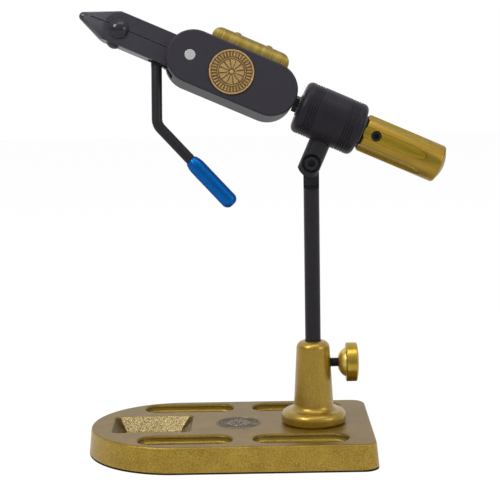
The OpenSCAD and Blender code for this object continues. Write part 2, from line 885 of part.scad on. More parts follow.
// One flute: a straight hollow from the front face that a wheel lets run out
module flute() {
    reach = flute_share * knob_l;
    offset_r = knob_r + flute_r - flute_depth;
    swing = flute_wheel_r - flute_r;
    translate([offset_r, 0, -over]) cylinder(r = flute_r, h = reach + over);
    translate([offset_r + swing, 0, reach]) rotate([90, 0, 180])
        rotate_extrude(angle = wheel_arc) translate([swing, 0]) circle(r = flute_r);
}

module rotary_knob() {
    step = 360 / flutes;
    color("goldenrod") at_head() translate([knob_x, 0, 0]) difference() {
        along_x() difference() {
            union() {
                rotate_extrude() intersection() {
                    knob_section();
                    square([knob_r, knob_l]);
                }
                translate([0, 0, knob_l]) dome(knob_r - knob_round, knob_l * crown_share);
            }
            for (i = [0 : flutes - 1])
                rotate([0, 0, -90 + flute_phase + i * step]) flute();
            translate([0, 0, -over])
                cylinder(r = shaft_d / 2 + seat_fit, h = shaft_end - knob_x + over);
        }
        translate([set_screw_x, 0, 0]) rotate([90 + flute_phase, 0, 0])
            cylinder(r = set_screw_d / 2 + seat_fit, h = knob_d);
    }
}

module knob_set_screw() {
    inner = shaft_d / 2 + seat_fit;
    outer = knob_r - flute_depth - set_screw_sink;
    color("black") at_head() translate([knob_x + set_screw_x, 0, 0])
        rotate([90 + flute_phase, 0, 0]) difference() {
            translate([0, 0, inner]) cylinder(r = set_screw_d / 2, h = outer - inner);
            translate([0, 0, outer - set_screw_hex_depth])
                hex_prism(set_screw_hex, set_screw_hex_depth + over);
        }
}

// Half section of the chamfered disc that both round ends of the head are turned to
module head_end_section() {
    c = head_chamfer;
    polygon([
        [0, -head_t / 2],
        [head_r - c, -head_t / 2],
        [head_r, c - head_t / 2],
        [head_r, head_t / 2 - c],
        [head_r - c, head_t / 2],
        [0, head_t / 2]]);
}

module head_blank() {
    c = head_chamfer;
    for (u = [front_cx, rear_cx])
        translate([u, 0, 0]) along_y() rotate_extrude() head_end_section();
    translate([front_cx, 0, 0]) along_x()
        linear_extrude(height = rear_cx - front_cx) polygon([
            [-head_r, c - head_t / 2], [c - head_r, -head_t / 2],
            [head_r - c, -head_t / 2], [head_r, c - head_t / 2],
            [head_r, head_t / 2 - c], [head_r - c, head_t / 2],
            [c - head_r, head_t / 2], [-head_r, head_t / 2 - c]]);
}

module head_body() {
    face = -head_t / 2;
    color("dimgray") at_head() difference() {
        head_blank();
        translate([head_front - over, -slot_half_w, -slot_half_h])
            cube([slot_end - head_front + over, 2 * slot_half_w, 2 * slot_half_h]);
        translate([head_front - over, -slot_half_w, -head_r - over])
            cube([notch_end + over, 2 * slot_half_w, head_r + over]);
        translate([pin_u, 0, 0]) cross_cylinder(pin_d / 2 + seat_fit, head_t + 2 * over);
        for (w = [-anchor_w, anchor_w])
            translate([anchor_u, face - over, w]) along_y()
                cylinder(r = anchor_d / 2 + seat_fit, h = head_t - anchor_blind + over);
        translate([disc_u, face - over, 0]) along_y()
            cylinder(r = disc_d / 2 + seat_fit, h = disc_recess + over);
        translate([head_rear - stud_front_l - over, 0, 0]) along_x()
            cylinder(r = stud_front_d / 2 + seat_fit, h = stud_front_l + 2 * over);
        for (side = [-1, 1])
            translate([rest_mid + side * rest_screw_pitch / 2, 0, head_r - rest_screw_l])
                cylinder(r = rest_screw_d / 2 + seat_fit, h = rest_screw_l + over);
    }
}

module lever_pin() {
    color("silver") at_head() translate([pin_u, 0, 0]) cross_cylinder(pin_d / 2, head_t);
}

module jaw_anchor_pins() {
    l = head_t - anchor_blind - disc_recess;
    color("silver") at_head()
        for (w = [-anchor_w, anchor_w])
            translate([anchor_u, disc_recess - head_t / 2 + face_fit, w]) along_y()
                cylinder(r = anchor_d / 2, h = l - 2 * face_fit);
}

module head_disc() {
    color("peru") at_head() translate([disc_u, disc_recess - head_t / 2, 0])
        rotate([90, 0, 0]) struck_disc(disc_d, disc_t);
}

// Side view of the thumb rest, from its front end and from its seat
module rest_profile() {
    tail_x = rest_l - rest_tail_r;
    intersection() {
        union() {
            square([tail_x, rest_h - rest_nose_r]);
            square([rest_l, rest_h - rest_tail_r]);
            translate([rest_nose_r, 0]) square([tail_x - rest_nose_r, rest_h]);
            translate([rest_nose_r, rest_h - rest_nose_r]) circle(r = rest_nose_r);
            translate([tail_x, rest_h - rest_tail_r]) circle(r = rest_tail_r);
        }
        square([rest_l, rest_h]);
    }
}

// Cross section of the thumb rest: a half round back on a straight foot
module rest_section() {
    r = rest_w / 2;
    translate([-r, 0]) intersection() {
        union() {
            square([rest_w, rest_h - r]);
            translate([r, rest_h - r]) circle(r = r);
        }
        square([rest_w, rest_h]);
    }
}

module thumb_rest() {
    color("goldenrod") at_head() difference() {
        intersection() {
            translate([rest_front, rest_w / 2 + over, rest_base]) rotate([90, 0, 0])
                linear_extrude(height = rest_w + 2 * over) rest_profile();
            translate([rest_front - over, 0, rest_base]) rotate([90, 0, 90])
                linear_extrude(height = rest_l + 2 * over) rest_section();
        }
        for (side = [-1, 1])
            translate([rest_mid + side * rest_screw_pitch / 2, 0, rest_base]) {
                translate([0, 0, -over])
                    cylinder(r = rest_screw_d / 2 + run_fit, h = rest_h + 2 * over);
                translate([0, 0, rest_seat])
                    cylinder(r = rest_head_d / 2 + run_fit, h = rest_h);
            }
    }
}

module thumb_rest_screws() {
    seat = rest_base + rest_seat + seat_fit;
    foot = head_r - rest_screw_l + seat_fit;
    color("goldenrod") at_head()
        for (side = [-1, 1])
            translate([rest_mid + side * rest_screw_pitch / 2, 0, 0]) {
                translate([0, 0, seat]) dome(rest_head_d / 2, rest_head_h, rest_head_rim);
                translate([0, 0, foot]) cylinder(r = rest_screw_d / 2, h = seat - foot + rest_head_rim);
            }
}

// Everything that may be jaw: bars behind the guide pin, the turned nose in front of it
module jaw_envelope() {
    side_w = jaw_w / 2;
    run = tip_r - tip_r * sin(nose_angle) + (nose_max_r - tip_r * cos(nose_angle)) / tan(nose_angle);
    fall = (lens_r - side_flat_r) * tan(side_angle);
    translate([guide_u, -side_w, -jaw_under])
        cube([jaw_root - guide_u, jaw_w, jaw_h]);
    intersection() {
        translate([jaw_tip - over, -side_w, -jaw_under])
            cube([guide_u - jaw_tip + 2 * over, jaw_w, jaw_h]);
        translate([jaw_tip, 0, -nose_drop]) along_x() {
            rotate_extrude() union() {
                intersection() {
                    translate([0, tip_r]) circle(r = tip_r);
                    square(2 * tip_r);
                }
                polygon([
                    [0, tip_r - tip_r * sin(nose_angle)],
                    [tip_r * cos(nose_angle), tip_r - tip_r * sin(nose_angle)],
                    [nose_max_r, run],
                    [nose_max_r, 2 * guide_x],
                    [0, 2 * guide_x]]);
            }
        }
        translate([guide_u, 0, -guide_drop]) along_y() rotate_extrude() polygon([
            [0, -side_w - over],
            [side_flat_r - over / tan(side_angle), -side_w - over],
            [lens_r, fall - side_w],
            [lens_r, side_w - fall],
            [side_flat_r - over / tan(side_angle), side_w + over],
            [0, side_w + over]]);
    }
}

// The half space of one jaw: up is 1 for the upper jaw and -1 for the lower one
module jaw_half(up) {
    tall = jaw_h + over;
    mirror([0, 0, up < 0 ? 1 : 0]) {
        translate([jaw_tip - over, -jaw_w, tip_gap / 2])
            cube([tip_land + over, 2 * jaw_w, tall]);
        translate([jaw_tip + tip_land, -jaw_w, split_gap / 2])
            cube([jaw_root - jaw_tip, 2 * jaw_w, tall]);
    }
}

// What both jaws leave free: the pivot pin, the cam's noses and the jaw's own anchor pin
module jaw_relief(up) {
    recess_w = cam_t / 2 + cam_slot_fit;
    translate([pin_u, 0, 0]) cross_cylinder(pin_d / 2 + 2 * guide_groove_fit, 2 * jaw_w);
    translate([pin_u - cam_recess_half, -recess_w, -cam_recess])
        cube([2 * cam_recess_half, 2 * recess_w, 2 * cam_recess]);
    translate([anchor_u, 0, up * anchor_w]) cross_cylinder(anchor_d / 2 + run_fit, 2 * jaw_w);
}

module upper_jaw() {
    color("dimgray") at_head() difference() {
        intersection() {
            jaw_envelope();
            jaw_half(1);
        }
        jaw_relief(1);
        translate([guide_u, 0, -guide_drop])
            cross_cylinder(guide_d / 2 + guide_groove_fit, 2 * jaw_w);
    }
}

module lower_jaw() {
    slot_w2 = cam_t / 2 + cam_slot_fit;
    color("dimgray") at_head() difference() {
        intersection() {
            jaw_envelope();
            jaw_half(-1);
        }
        jaw_relief(-1);
        translate([pin_u - arm_slot_front, -slot_w2, -jaw_h])
            cube([arm_slot_front - arm_slot_end, 2 * slot_w2, jaw_h]);
        translate([guide_u, 0, -guide_drop]) cross_cylinder(guide_d / 2 + seat_fit, 2 * jaw_w);
        translate([guide_u, 0, -jaw_h])
            cylinder(r = under_screw_d / 2 + seat_fit, h = jaw_h);
    }
}

module guide_pin() {
    side = jaw_w / 2 + run_fit;
    color("black") at_head() translate([guide_u, 0, -guide_drop]) difference() {
        union() {
            cross_cylinder(guide_d / 2, 2 * side);
            translate([0, -side, 0]) rotate([90, 0, 0])
                dome(guide_head_d / 2, guide_head_h, guide_rim);
            translate([0, side, 0]) along_y()
                cylinder(r = under_screw_d / 2, h = guide_head_h / 2);
        }
        translate([0, 0, -guide_d]) cylinder(r = under_screw_d / 2 + seat_fit, h = guide_d);
    }
}

module guide_pin_cap() {
    side = jaw_w / 2 + run_fit;
    color("black") at_head() translate([guide_u, side, -guide_drop]) along_y() difference() {
        dome(guide_head_d / 2, guide_head_h, guide_rim);
        translate([0, 0, -over])
            cylinder(r = under_screw_d / 2 + seat_fit, h = over + guide_head_h / 2 + seat_fit);
    }
}

module guide_pin_screw() {
    under = -jaw_under - seat_fit;
    top = -guide_drop - seat_fit;
    color("black") at_head() translate([guide_u, 0, under]) {
        mirror([0, 0, 1]) dome(under_head_d / 2, under_head_h);
        cylinder(r = under_screw_d / 2, h = top - under);
    }
}

// Outline of the cam plate about the pivot pin: hub, two noses and the arm to the rod
module cam_outline() {
    run = [cos(rod_angle), -sin(rod_angle)];
    side = [-run[1], run[0]] * (rod_r + seat_fit);
    top = [rod_top_u, rod_top_w];
    circle(r = cam_hub_r);
    translate([-cam_front_u, -cam_nose_w]) circle(r = cam_nose_r);
    translate([cam_rear_u, cam_nose_w]) circle(r = cam_nose_r);
    polygon([
        cam_hub_r * cam_top_share,
        top - side - run * rod_r,
        top - side,
        top + side,
        top + side + cam_heel,
        cam_hub_r * cam_elbow_share,
        cam_hub_r * cam_back_share]);
}

module lever_cam() {
    color("black") at_head() translate([pin_u, 0, 0]) difference() {
        rotate([90, 0, 0]) linear_extrude(height = cam_t, center = true) cam_outline();
        cross_cylinder(pin_d / 2 + run_fit, 2 * cam_t);
        translate([rod_top_u, 0, rod_top_w]) rotate([0, 90 + rod_angle, 0])
            translate([0, 0, -rod_spigot_l - seat_fit])
                cylinder(r = rod_spigot_d / 2 + seat_fit, h = rod_spigot_l + over);
    }
}

// The rod's frame: origin at its upper end, +Z down the upper run, bend towards +X
module at_rod() {
    at_head() translate([pin_u + rod_top_u, 0, rod_top_w]) rotate([0, 90 + rod_angle, 0])
        rotate([0, 0, 180]) children();
}

module lever_rod() {
    straight = rod_upper - bend_tangent;
    lower = rod_lower - bend_tangent + rod_in_grip;
    color("black") at_rod() {
        translate([0, 0, -rod_spigot_l]) cylinder(r = rod_spigot_d / 2, h = rod_spigot_l + over);
        cylinder(r = rod_r, h = straight);
        translate([rod_bend_r, 0, straight]) rotate([90, 0, 180])
            rotate_extrude(angle = rod_bend) translate([rod_bend_r, 0]) circle(r = rod_r);
        translate([rod_bend_r, 0, straight]) rotate([0, rod_bend, 0])
            translate([-rod_bend_r, 0, 0]) cylinder(r = rod_r, h = lower);
    }
}

// Half section of the grip: swelling front, straight body and rounded end
module grip_section() {
    r = grip_d / 2;
    step = r - grip_front_d / 2;
    swell_r = (grip_swell * grip_swell + step * step) / (2 * step);
    intersection() {
        translate([r - swell_r, grip_swell]) circle(r = swell_r);
        square([r, grip_swell]);
    }
    translate([0, grip_swell]) square([r, grip_l - grip_swell - grip_round]);
    translate([r - grip_round, grip_l - grip_round]) circle(r = grip_round);
    square([r - grip_round, grip_l]);
}

module lever_grip() {
    straight = rod_upper - bend_tangent;
    color("royalblue") at_rod()
        translate([rod_bend_r, 0, straight]) rotate([0, rod_bend, 0])
            translate([-rod_bend_r, 0, rod_lower - bend_tangent]) difference() {
                rotate_extrude() intersection() {
                    grip_section();
                    square([grip_d, grip_l]);
                }
                translate([0, 0, -over])
                    cylinder(r = rod_r + seat_fit, h = rod_in_grip + over + seat_fit);
            }
}

pocket_base();
base_sheet();
base_disc();
pedestal();
pedestal_bolt();
pedestal_washer();
clamp_tip();
clamp_stud();
clamp_knob();
stem_foot();
stem();
tilt_screw();
neck();
barrel_housing();
front_bush();
rear_bush();
rotor_shaft();
jam_nut();
front_washer();
rear_washer();
rotary_knob();
knob_set_screw();
head_body();
lever_pin();
jaw_anchor_pins();
head_disc();
thumb_rest();
thumb_rest_screws();
upper_jaw();
lower_jaw();
guide_pin();
guide_pin_cap();
guide_pin_screw();
lever_cam();
lever_rod();
lever_grip();
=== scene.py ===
from math import atan2, hypot, inf, pi, radians

import bmesh
import bpy
from mathutils import Matrix, Vector


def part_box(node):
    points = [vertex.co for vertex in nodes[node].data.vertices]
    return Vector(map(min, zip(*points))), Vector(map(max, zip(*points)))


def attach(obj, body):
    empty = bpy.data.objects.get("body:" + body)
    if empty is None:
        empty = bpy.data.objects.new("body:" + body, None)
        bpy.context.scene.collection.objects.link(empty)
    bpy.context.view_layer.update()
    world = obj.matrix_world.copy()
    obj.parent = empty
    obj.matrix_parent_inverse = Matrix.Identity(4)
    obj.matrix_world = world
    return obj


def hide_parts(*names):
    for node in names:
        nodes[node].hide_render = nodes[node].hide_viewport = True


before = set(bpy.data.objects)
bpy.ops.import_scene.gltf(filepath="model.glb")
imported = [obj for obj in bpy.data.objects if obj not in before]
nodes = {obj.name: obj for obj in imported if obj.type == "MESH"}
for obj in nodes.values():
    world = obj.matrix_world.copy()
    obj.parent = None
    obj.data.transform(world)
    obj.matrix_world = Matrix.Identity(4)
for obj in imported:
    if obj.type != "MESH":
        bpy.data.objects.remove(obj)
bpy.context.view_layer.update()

# Studio.
# The vise stands on a white table in a light tent with three soft lamps. The camera stands where
# the photograph was taken from, 0.87 m in front of the stem, tipped down and slightly rolled.
CAMERA_PLACE, CAMERA_DOWN, CAMERA_ROLL = (-0.03762, -0.87490, 0.2491), 8.17, -0.97
scene = bpy.context.scene
scene.view_settings.view_transform = "Standard"
camera_data = bpy.data.cameras.new("camera")
camera_data.sensor_width = 36.0
camera_data.lens = 104.9
camera = bpy.data.objects.new("camera", camera_data)
scene.collection.objects.link(camera)
camera.matrix_world = (Matrix.Translation(CAMERA_PLACE)
                       @ Matrix.Rotation(radians(90 - CAMERA_DOWN), 4, "X")
                       @ Matrix.Rotation(radians(CAMERA_ROLL), 4, "Z"))
scene.camera = camera


def sums(tree, kind, *values):
    """One Math node; a value is a socket or a number."""
    node = tree.nodes.new("ShaderNodeMath")
    node.operation = kind
    for socket, value in zip(node.inputs, values):
        if isinstance(value, (int, float)):
            socket.default_value = value
        else:
            tree.links.new(value, socket)
    return node.outputs[0]


def clipped(tree, value):
    """The value, kept between 0 and 1."""
    return sums(tree, "MINIMUM", sums(tree, "MAXIMUM", value, 0.0), 1.0)


# The camera sees the tent white. A mirror sees it white behind the vise, and grey in front of it.
WHITE_GAIN, WHITE_START = 1.6, 0.2
world = bpy.data.worlds.new("light tent")
scene.world = world
world.use_nodes = True
tree = world.node_tree
tree.nodes.clear()
ray = tree.nodes.new("ShaderNodeSeparateXYZ")
tree.links.new(tree.nodes.new("ShaderNodeTexCoord").outputs["Generated"], ray.inputs[0])
sky = tree.nodes.new("ShaderNodeValToRGB")
sky.color_ramp.elements[0].position = 0.05
sky.color_ramp.elements[0].color = (0.32, 0.32, 0.33, 1)
sky.color_ramp.elements[1].position = 0.75
sky.color_ramp.elements[1].color = (0.80, 0.80, 0.80, 1)
tree.links.new(ray.outputs["Z"], sky.inputs["Fac"])
grey_tent = tree.nodes.new("ShaderNodeBackground")
tree.links.new(sky.outputs["Color"], grey_tent.inputs["Color"])
white_tent = tree.nodes.new("ShaderNodeBackground")
white_tent.inputs["Color"].default_value = (1, 1, 1, 1)
rays = tree.nodes.new("ShaderNodeLightPath")
mirrored = sums(tree, "MAXIMUM", rays.outputs["Is Glossy Ray"],
                rays.outputs["Is Transmission Ray"])
behind = clipped(tree, sums(tree, "MULTIPLY_ADD", ray.outputs["Y"], WHITE_GAIN, WHITE_START))
white_share = sums(tree, "MAXIMUM", rays.outputs["Is Camera Ray"],
                   sums(tree, "MULTIPLY", mirrored, behind))
either = tree.nodes.new("ShaderNodeMixShader")
out = tree.nodes.new("ShaderNodeOutputWorld")
tree.links.new(white_share, either.inputs["Fac"])
tree.links.new(grey_tent.outputs["Background"], either.inputs[1])
tree.links.new(white_tent.outputs["Background"], either.inputs[2])
tree.links.new(either.outputs["Shader"], out.inputs["Surface"])


def softbox(name, place, aim, size, power):
    """A rectangular lamp at place that faces aim."""
    data = bpy.data.lights.new(name, "AREA")
    data.shape = "RECTANGLE"
    data.size, data.size_y = size
    data.energy = power
    lamp = bpy.data.objects.new(name, data)
    scene.collection.objects.link(lamp)
    lamp.location = place
    lamp.rotation_euler = (Vector(aim) - Vector(place)).to_track_quat("-Z", "Y").to_euler()


softbox("left softbox", place=(-0.55, -0.50, 0.85), aim=(-0.03, 0, 0.15),
        size=(0.35, 0.35), power=6.0)
softbox("top softbox", place=(0.10, -0.25, 1.05), aim=(-0.02, 0, 0.12),
        size=(0.8, 0.4), power=3.0)
softbox("right softbox", place=(0.85, -0.55, 0.50), aim=(0, 0, 0.12),
        size=(0.5, 0.5), power=3.0)

TABLE_SIZE, TABLE_BELOW, TABLE_GLOW, TABLE_WHITE = 6, 0.0002, 1.05, 0.86
bpy.ops.object.select_all(action="DESELECT")
bpy.ops.mesh.primitive_plane_add(size=TABLE_SIZE, location=(0, 0, -TABLE_BELOW))
floor = bpy.context.object
floor.name = "table"
white = bpy.data.materials.new("white table")
white.use_nodes = True
tree = white.node_tree
tree.nodes.clear()
rays = tree.nodes.new("ShaderNodeLightPath")
matt = tree.nodes.new("ShaderNodeBsdfDiffuse")
matt.inputs["Color"].default_value = (0.82, 0.82, 0.82, 1)
glow = tree.nodes.new("ShaderNodeEmission")
glow.inputs["Color"].default_value = (1, 1, 1, 1)
glow.inputs["Strength"].default_value = TABLE_GLOW
seen = sums(tree, "MAXIMUM", rays.outputs["Is Camera Ray"],
            sums(tree, "MAXIMUM", rays.outputs["Is Glossy Ray"],
                 rays.outputs["Is Transmission Ray"]))
both = tree.nodes.new("ShaderNodeMixShader")
out = tree.nodes.new("ShaderNodeOutputMaterial")
tree.links.new(sums(tree, "MULTIPLY", seen, TABLE_WHITE), both.inputs["Fac"])
tree.links.new(matt.outputs[0], both.inputs[1])
tree.links.new(glow.outputs[0], both.inputs[2])
tree.links.new(both.outputs[0], out.inputs["Surface"])
floor.data.materials.append(white)

# Cast base.
# A heavy iron casting with four tool slots, a hook tray and a recess for a disc. Its gold
# hammered enamel is mottled on the sides and the top, and coarse and sparkling in the tray.


def finish(name, colour, metallic, roughness, coat=0.0, coat_roughness=0.2, specular=0.5):
    """A new material: itself, its tree, its shader and its object coordinates."""
    made = bpy.data.materials.new(name)
    made.use_nodes = True
    tree = made.node_tree
    shader = tree.nodes["Principled BSDF"]
    shader.inputs["Base Color"].default_value = (*colour, 1)
    shader.inputs["Metallic"].default_value = metallic
    shader.inputs["Roughness"].default_value = roughness
    shader.inputs["Specular IOR Level"].default_value = specular
    shader.inputs["Coat Weight"].default_value = coat
    shader.inputs["Coat Roughness"].default_value = coat_roughness
    place = tree.nodes.new("ShaderNodeTexCoord").outputs["Object"]
    return made, tree, shader, place


def noise(tree, place, size, detail=2.0):
    """Noise whose blobs are about size metres wide."""
    texture = tree.nodes.new("ShaderNodeTexNoise")
    texture.inputs["Scale"].default_value = 1 / size
    texture.inputs["Detail"].default_value = detail
    tree.links.new(place, texture.inputs["Vector"])
    return texture.outputs["Fac"]


def uneven(tree, value, patches, share):
    """The value, raised and lowered by a share of what the patches are off their middle."""
    off_middle = sums(tree, "SUBTRACT", patches, 0.5)
    return sums(tree, "ADD", value, sums(tree, "MULTIPLY", off_middle, share))


def tint(tree, fac, low, high, start=0.35, stop=0.65):
    """A colour that runs from low to high as fac runs from start to stop."""
    ramp = tree.nodes.new("ShaderNodeValToRGB")
    ramp.color_ramp.elements[0].position = start
    ramp.color_ramp.elements[0].color = (*low, 1)
    ramp.color_ramp.elements[1].position = stop
    ramp.color_ramp.elements[1].color = (*high, 1)
    tree.links.new(fac, ramp.inputs["Fac"])
    return ramp.outputs["Color"]


def blend(tree, fac, first, second):
    """A mix of two colours."""
    node = tree.nodes.new("ShaderNodeMix")
    node.data_type = "RGBA"
    tree.links.new(fac, node.inputs["Factor"])
    for socket, value in ((node.inputs[6], first), (node.inputs[7], second)):
        if isinstance(value, tuple):
            socket.default_value = (*value, 1)
        else:
            tree.links.new(value, socket)
    return node.outputs[2]


def nearer(tree, value, middle, reach):
    """1 where the value is less than reach away from the middle, and 0 elsewhere."""
    away = sums(tree, "ABSOLUTE", sums(tree, "SUBTRACT", value, middle))
    return sums(tree, "LESS_THAN", away, reach)


def where_all(tree, mask, *others):
    """The masks multiplied, which is 1 only where every mask is 1."""
    for other in others:
        mask = sums(tree, "MULTIPLY", mask, other)
    return mask


def coloured(tree, shader, colour):
    """Gives the shader a colour from its tree."""
    tree.links.new(colour, shader.inputs["Base Color"])


def roughened(tree, shader, fac, least, more):
    """Makes the roughness run from least to least plus more as fac runs from 0 to 1."""
    tree.links.new(sums(tree, "MULTIPLY_ADD", fac, more, least), shader.inputs["Roughness"])


def relief(tree, shader, edge, height=None, depth=0.0):
    """Breaks the edges by edge metres and raises the surface by depth where height is 1."""
    rounded = tree.nodes.new("ShaderNodeBevel")
    rounded.samples = 4
    rounded.inputs["Radius"].default_value = edge
    normal = rounded.outputs["Normal"]
    if height is not None:
        bump = tree.nodes.new("ShaderNodeBump")
        bump.inputs["Distance"].default_value = depth
        tree.links.new(height, bump.inputs["Height"])
        tree.links.new(normal, bump.inputs["Normal"])
        normal = bump.outputs["Normal"]
    tree.links.new(normal, shader.inputs["Normal"])


def dress(material, *names):
    """Gives CAD nodes their material."""
    for name in names:
        data = nodes[name].data
        data.materials.clear()
        data.materials.append(material)


def merged_copy(name, node, distance):
    """A new piece from a CAD node, and its mesh with the loose triangles merged."""
    piece = bpy.data.objects.new(name, nodes[node].data.copy())
    piece.data.materials.clear()
    scene.collection.objects.link(piece)
    melt = bmesh.new()
    melt.from_mesh(piece.data)
    bmesh.ops.remove_doubles(melt, verts=melt.verts, dist=distance)
    return piece, melt


CREASE, LEVEL = radians(30), 0.9995


def settle(piece, melt, level_from=inf):
    """Gives the piece its merged mesh, smooth but for its sharp edges.

    The rim of a level face that lies higher than level_from is sharp too.
    """
    melt.normal_update()
    for face in melt.faces:
        face.smooth = True
    for edge in melt.edges:
        level = {face.normal.z > LEVEL and face.calc_center_median().z > level_from
                 for face in edge.link_faces}
        edge.smooth = len(level) == 1 and edge.is_manifold and edge.calc_face_angle() < CREASE
    melt.to_mesh(piece.data)
    melt.free()


BASE_TOP, POCKETS_FROM, LEVEL_WITHIN = 0.016, 0.0065, 0.0001
REAR_FROM, REAR_TO, REAR_REACH = 0.0215, 0.0300, 0.0009
DISC_X, RECESS_R, RECESS_MARGIN, CAST_RECESS_R = -0.0465, 0.0128, 0.0002, 0.01395
TRAY_MIDDLE, TRAY_HALF_L, TRAY_HALF_W, TRAY_MARGIN = -0.0984, 0.0242, 0.0197, 0.001
TRAY_DRAWN_LEFT, TRAY_DRAWN_RIGHT, TRAY_LONGER = 15.0, 23.0, 0.0019
SLOT_MIDDLES, SLOT_RUN, SLOT_Y = (-0.0780, -0.0095), 0.0202, 0.0375
SLOT_WALL, SLOT_LIP, SLOT_MARGIN, SLOT_SHAPED = 0.0083, 0.0007, 0.0001, 0.0045
CAST_LIP, CAST_WIDER, CAST_BACK = 0.0019, 0.0006, 0.0006


def cast_shape(point):
    """Where the casting has a point of the CAD base.

    The casting reaches further back, its recess is wider, its tray is longer and has more
    sloping ends, and its slots are wider and have rounder lips.
    """
    x, y, z = point
    if x > REAR_FROM:
        x += REAR_REACH * min((x - REAR_FROM) / (REAR_TO - REAR_FROM), 1)
    if z > POCKETS_FROM and hypot(x - DISC_X, y) < RECESS_R + RECESS_MARGIN:
        grown = CAST_RECESS_R / RECESS_R
        return Vector((DISC_X + (x - DISC_X) * grown, y * grown, z))
    off_middle = x - TRAY_MIDDLE
    if (z > POCKETS_FROM and abs(off_middle) < TRAY_HALF_L + TRAY_MARGIN
            and abs(y) < TRAY_HALF_W + TRAY_MARGIN):
        drawn = TRAY_DRAWN_LEFT if off_middle < 0 else TRAY_DRAWN_RIGHT
        longer = min(off_middle, 0) * TRAY_LONGER / TRAY_HALF_L
        return Vector((x + longer - off_middle * drawn * (BASE_TOP - z), y, z))
    side = SLOT_Y if y > 0 else -SLOT_Y
    for middle in SLOT_MIDDLES:
        run = max(min(x - middle, SLOT_RUN), -SLOT_RUN)
        out = Vector((x - middle - run, y - side))
        if z < BASE_TOP - SLOT_SHAPED or out.length > SLOT_WALL + SLOT_LIP + SLOT_MARGIN:
            continue
        reach, deep = out.length, BASE_TOP - z
        in_lip = max(reach - SLOT_WALL, 0)
        grow = (CAST_LIP - SLOT_LIP) / SLOT_LIP
        wider = CAST_WIDER * min(reach / SLOT_WALL, 1) + in_lip * grow
        deeper = min(deep, SLOT_LIP) * grow
        shorter = (CAST_LIP - SLOT_LIP) * run / SLOT_RUN
        if reach > 0:
            out *= (reach + wider) / reach
        return Vector((middle + run - shorter + out.x, side + CAST_BACK + out.y, z - deeper))
    return Vector((x, y, z))


cast, melt = merged_copy("cast_base", "pocket_base", distance=0.000001)
for vertex in melt.verts:
    vertex.co = cast_shape(vertex.co)
settle(cast, melt, level_from=BASE_TOP - LEVEL_WITHIN)
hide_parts("pocket_base")
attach(cast, "base")

hammered, tree, shader, place = finish("hammered gold enamel", (0.28, 0.18, 0.02), metallic=0.6,
                                       roughness=0.42, coat=0.08, coat_roughness=0.3,
                                       specular=0.3)
axes = tree.nodes.new("ShaderNodeSeparateXYZ")
tree.links.new(place, axes.inputs[0])
facing = tree.nodes.new("ShaderNodeSeparateXYZ")
tree.links.new(tree.nodes.new("ShaderNodeNewGeometry").outputs["Normal"], facing.inputs[0])
TRAY_MARK_X, TRAY_MARK_L = TRAY_MIDDLE - TRAY_LONGER / 2, TRAY_HALF_L + TRAY_LONGER / 2 + 0.0005
TRAY_MOUTH, END_WALL = BASE_TOP - 0.0003, 0.35
in_tray = where_all(tree, nearer(tree, axes.outputs["X"], TRAY_MARK_X, TRAY_MARK_L),
                    nearer(tree, axes.outputs["Y"], 0.0, TRAY_HALF_W),
                    sums(tree, "LESS_THAN", axes.outputs["Z"], TRAY_MOUTH))
end_wall = sums(tree, "GREATER_THAN", sums(tree, "ABSOLUTE", facing.outputs["X"]), END_WALL)
SLOTS_MIDDLE, SLOTS_HALF_L, SLOT_HALF_W, SLOT_MOUTH = -0.0438, 0.0632, 0.0105, BASE_TOP - 0.0004
from_middle = sums(tree, "ABSOLUTE", axes.outputs["Y"])
in_slot = where_all(tree, nearer(tree, from_middle, SLOT_Y, SLOT_HALF_W),
                    nearer(tree, axes.outputs["X"], SLOTS_MIDDLE, SLOTS_HALF_L),
                    sums(tree, "LESS_THAN", axes.outputs["Z"], SLOT_MOUTH))
LIP_FOOT, LOW_WALL, TOP_GAIN, TOP_START = BASE_TOP - CAST_LIP, 0.6, 1.6, -0.5
low_wall = where_all(tree, sums(tree, "LESS_THAN", facing.outputs["Z"], LOW_WALL),
                     sums(tree, "LESS_THAN", axes.outputs["Z"], LIP_FOOT))
faces_up = clipped(tree, sums(tree, "MULTIPLY_ADD", facing.outputs["Z"], TOP_GAIN, TOP_START))
on_top = where_all(tree, faces_up, sums(tree, "GREATER_THAN", axes.outputs["Z"], LIP_FOOT))
grain = noise(tree, place, size=0.0007, detail=3)
clouds = noise(tree, place, size=0.012)
sand = noise(tree, place, size=0.0008, detail=3)
mottle = uneven(tree, grain, clouds, share=0.35)
gold = tint(tree, mottle, (0.22, 0.135, 0.014), (0.385, 0.255, 0.040), start=0.34, stop=0.64)
top_painted_shade = tint(tree, mottle, (0.110, 0.062, 0.006), (0.215, 0.130, 0.014), start=0.34, stop=0.64)
slot_painted_shade = tint(tree, mottle, (0.074, 0.045, 0.004), (0.145, 0.094, 0.009))
shade = tint(tree, mottle, (0.052, 0.030, 0.003), (0.100, 0.064, 0.007))
speckled = tint(tree, sand, (0.19, 0.13, 0.034), (0.49, 0.40, 0.21), start=0.38, stop=0.62)
# Painted shade: the top faces are painted a darker, greyer olive than the sides, for how the light
# falls on them.
colour = blend(tree, on_top, gold, top_painted_shade)
# In the slots the lips and floors are painted dark brown as painted shade, and the lower walls are
# painted back to the lighter gold as painted light.
colour = blend(tree, in_slot, colour, blend(tree, low_wall, slot_painted_shade, gold))
# The tray's end walls are painted dark brown as painted shade.
colour = blend(tree, in_tray, colour, blend(tree, end_wall, speckled, shade))
coloured(tree, shader, colour)
roughened(tree, shader, grain, least=0.32, more=0.2)
GRAIN_HEIGHT = 0.3
height = sums(tree, "ADD", sums(tree, "MULTIPLY", grain, GRAIN_HEIGHT),
              sums(tree, "MULTIPLY", sand, in_tray))
relief(tree, shader, edge=0.0004, height=height, depth=0.0003)
cast.data.materials.append(hammered)
dress(hammered, "pocket_base")
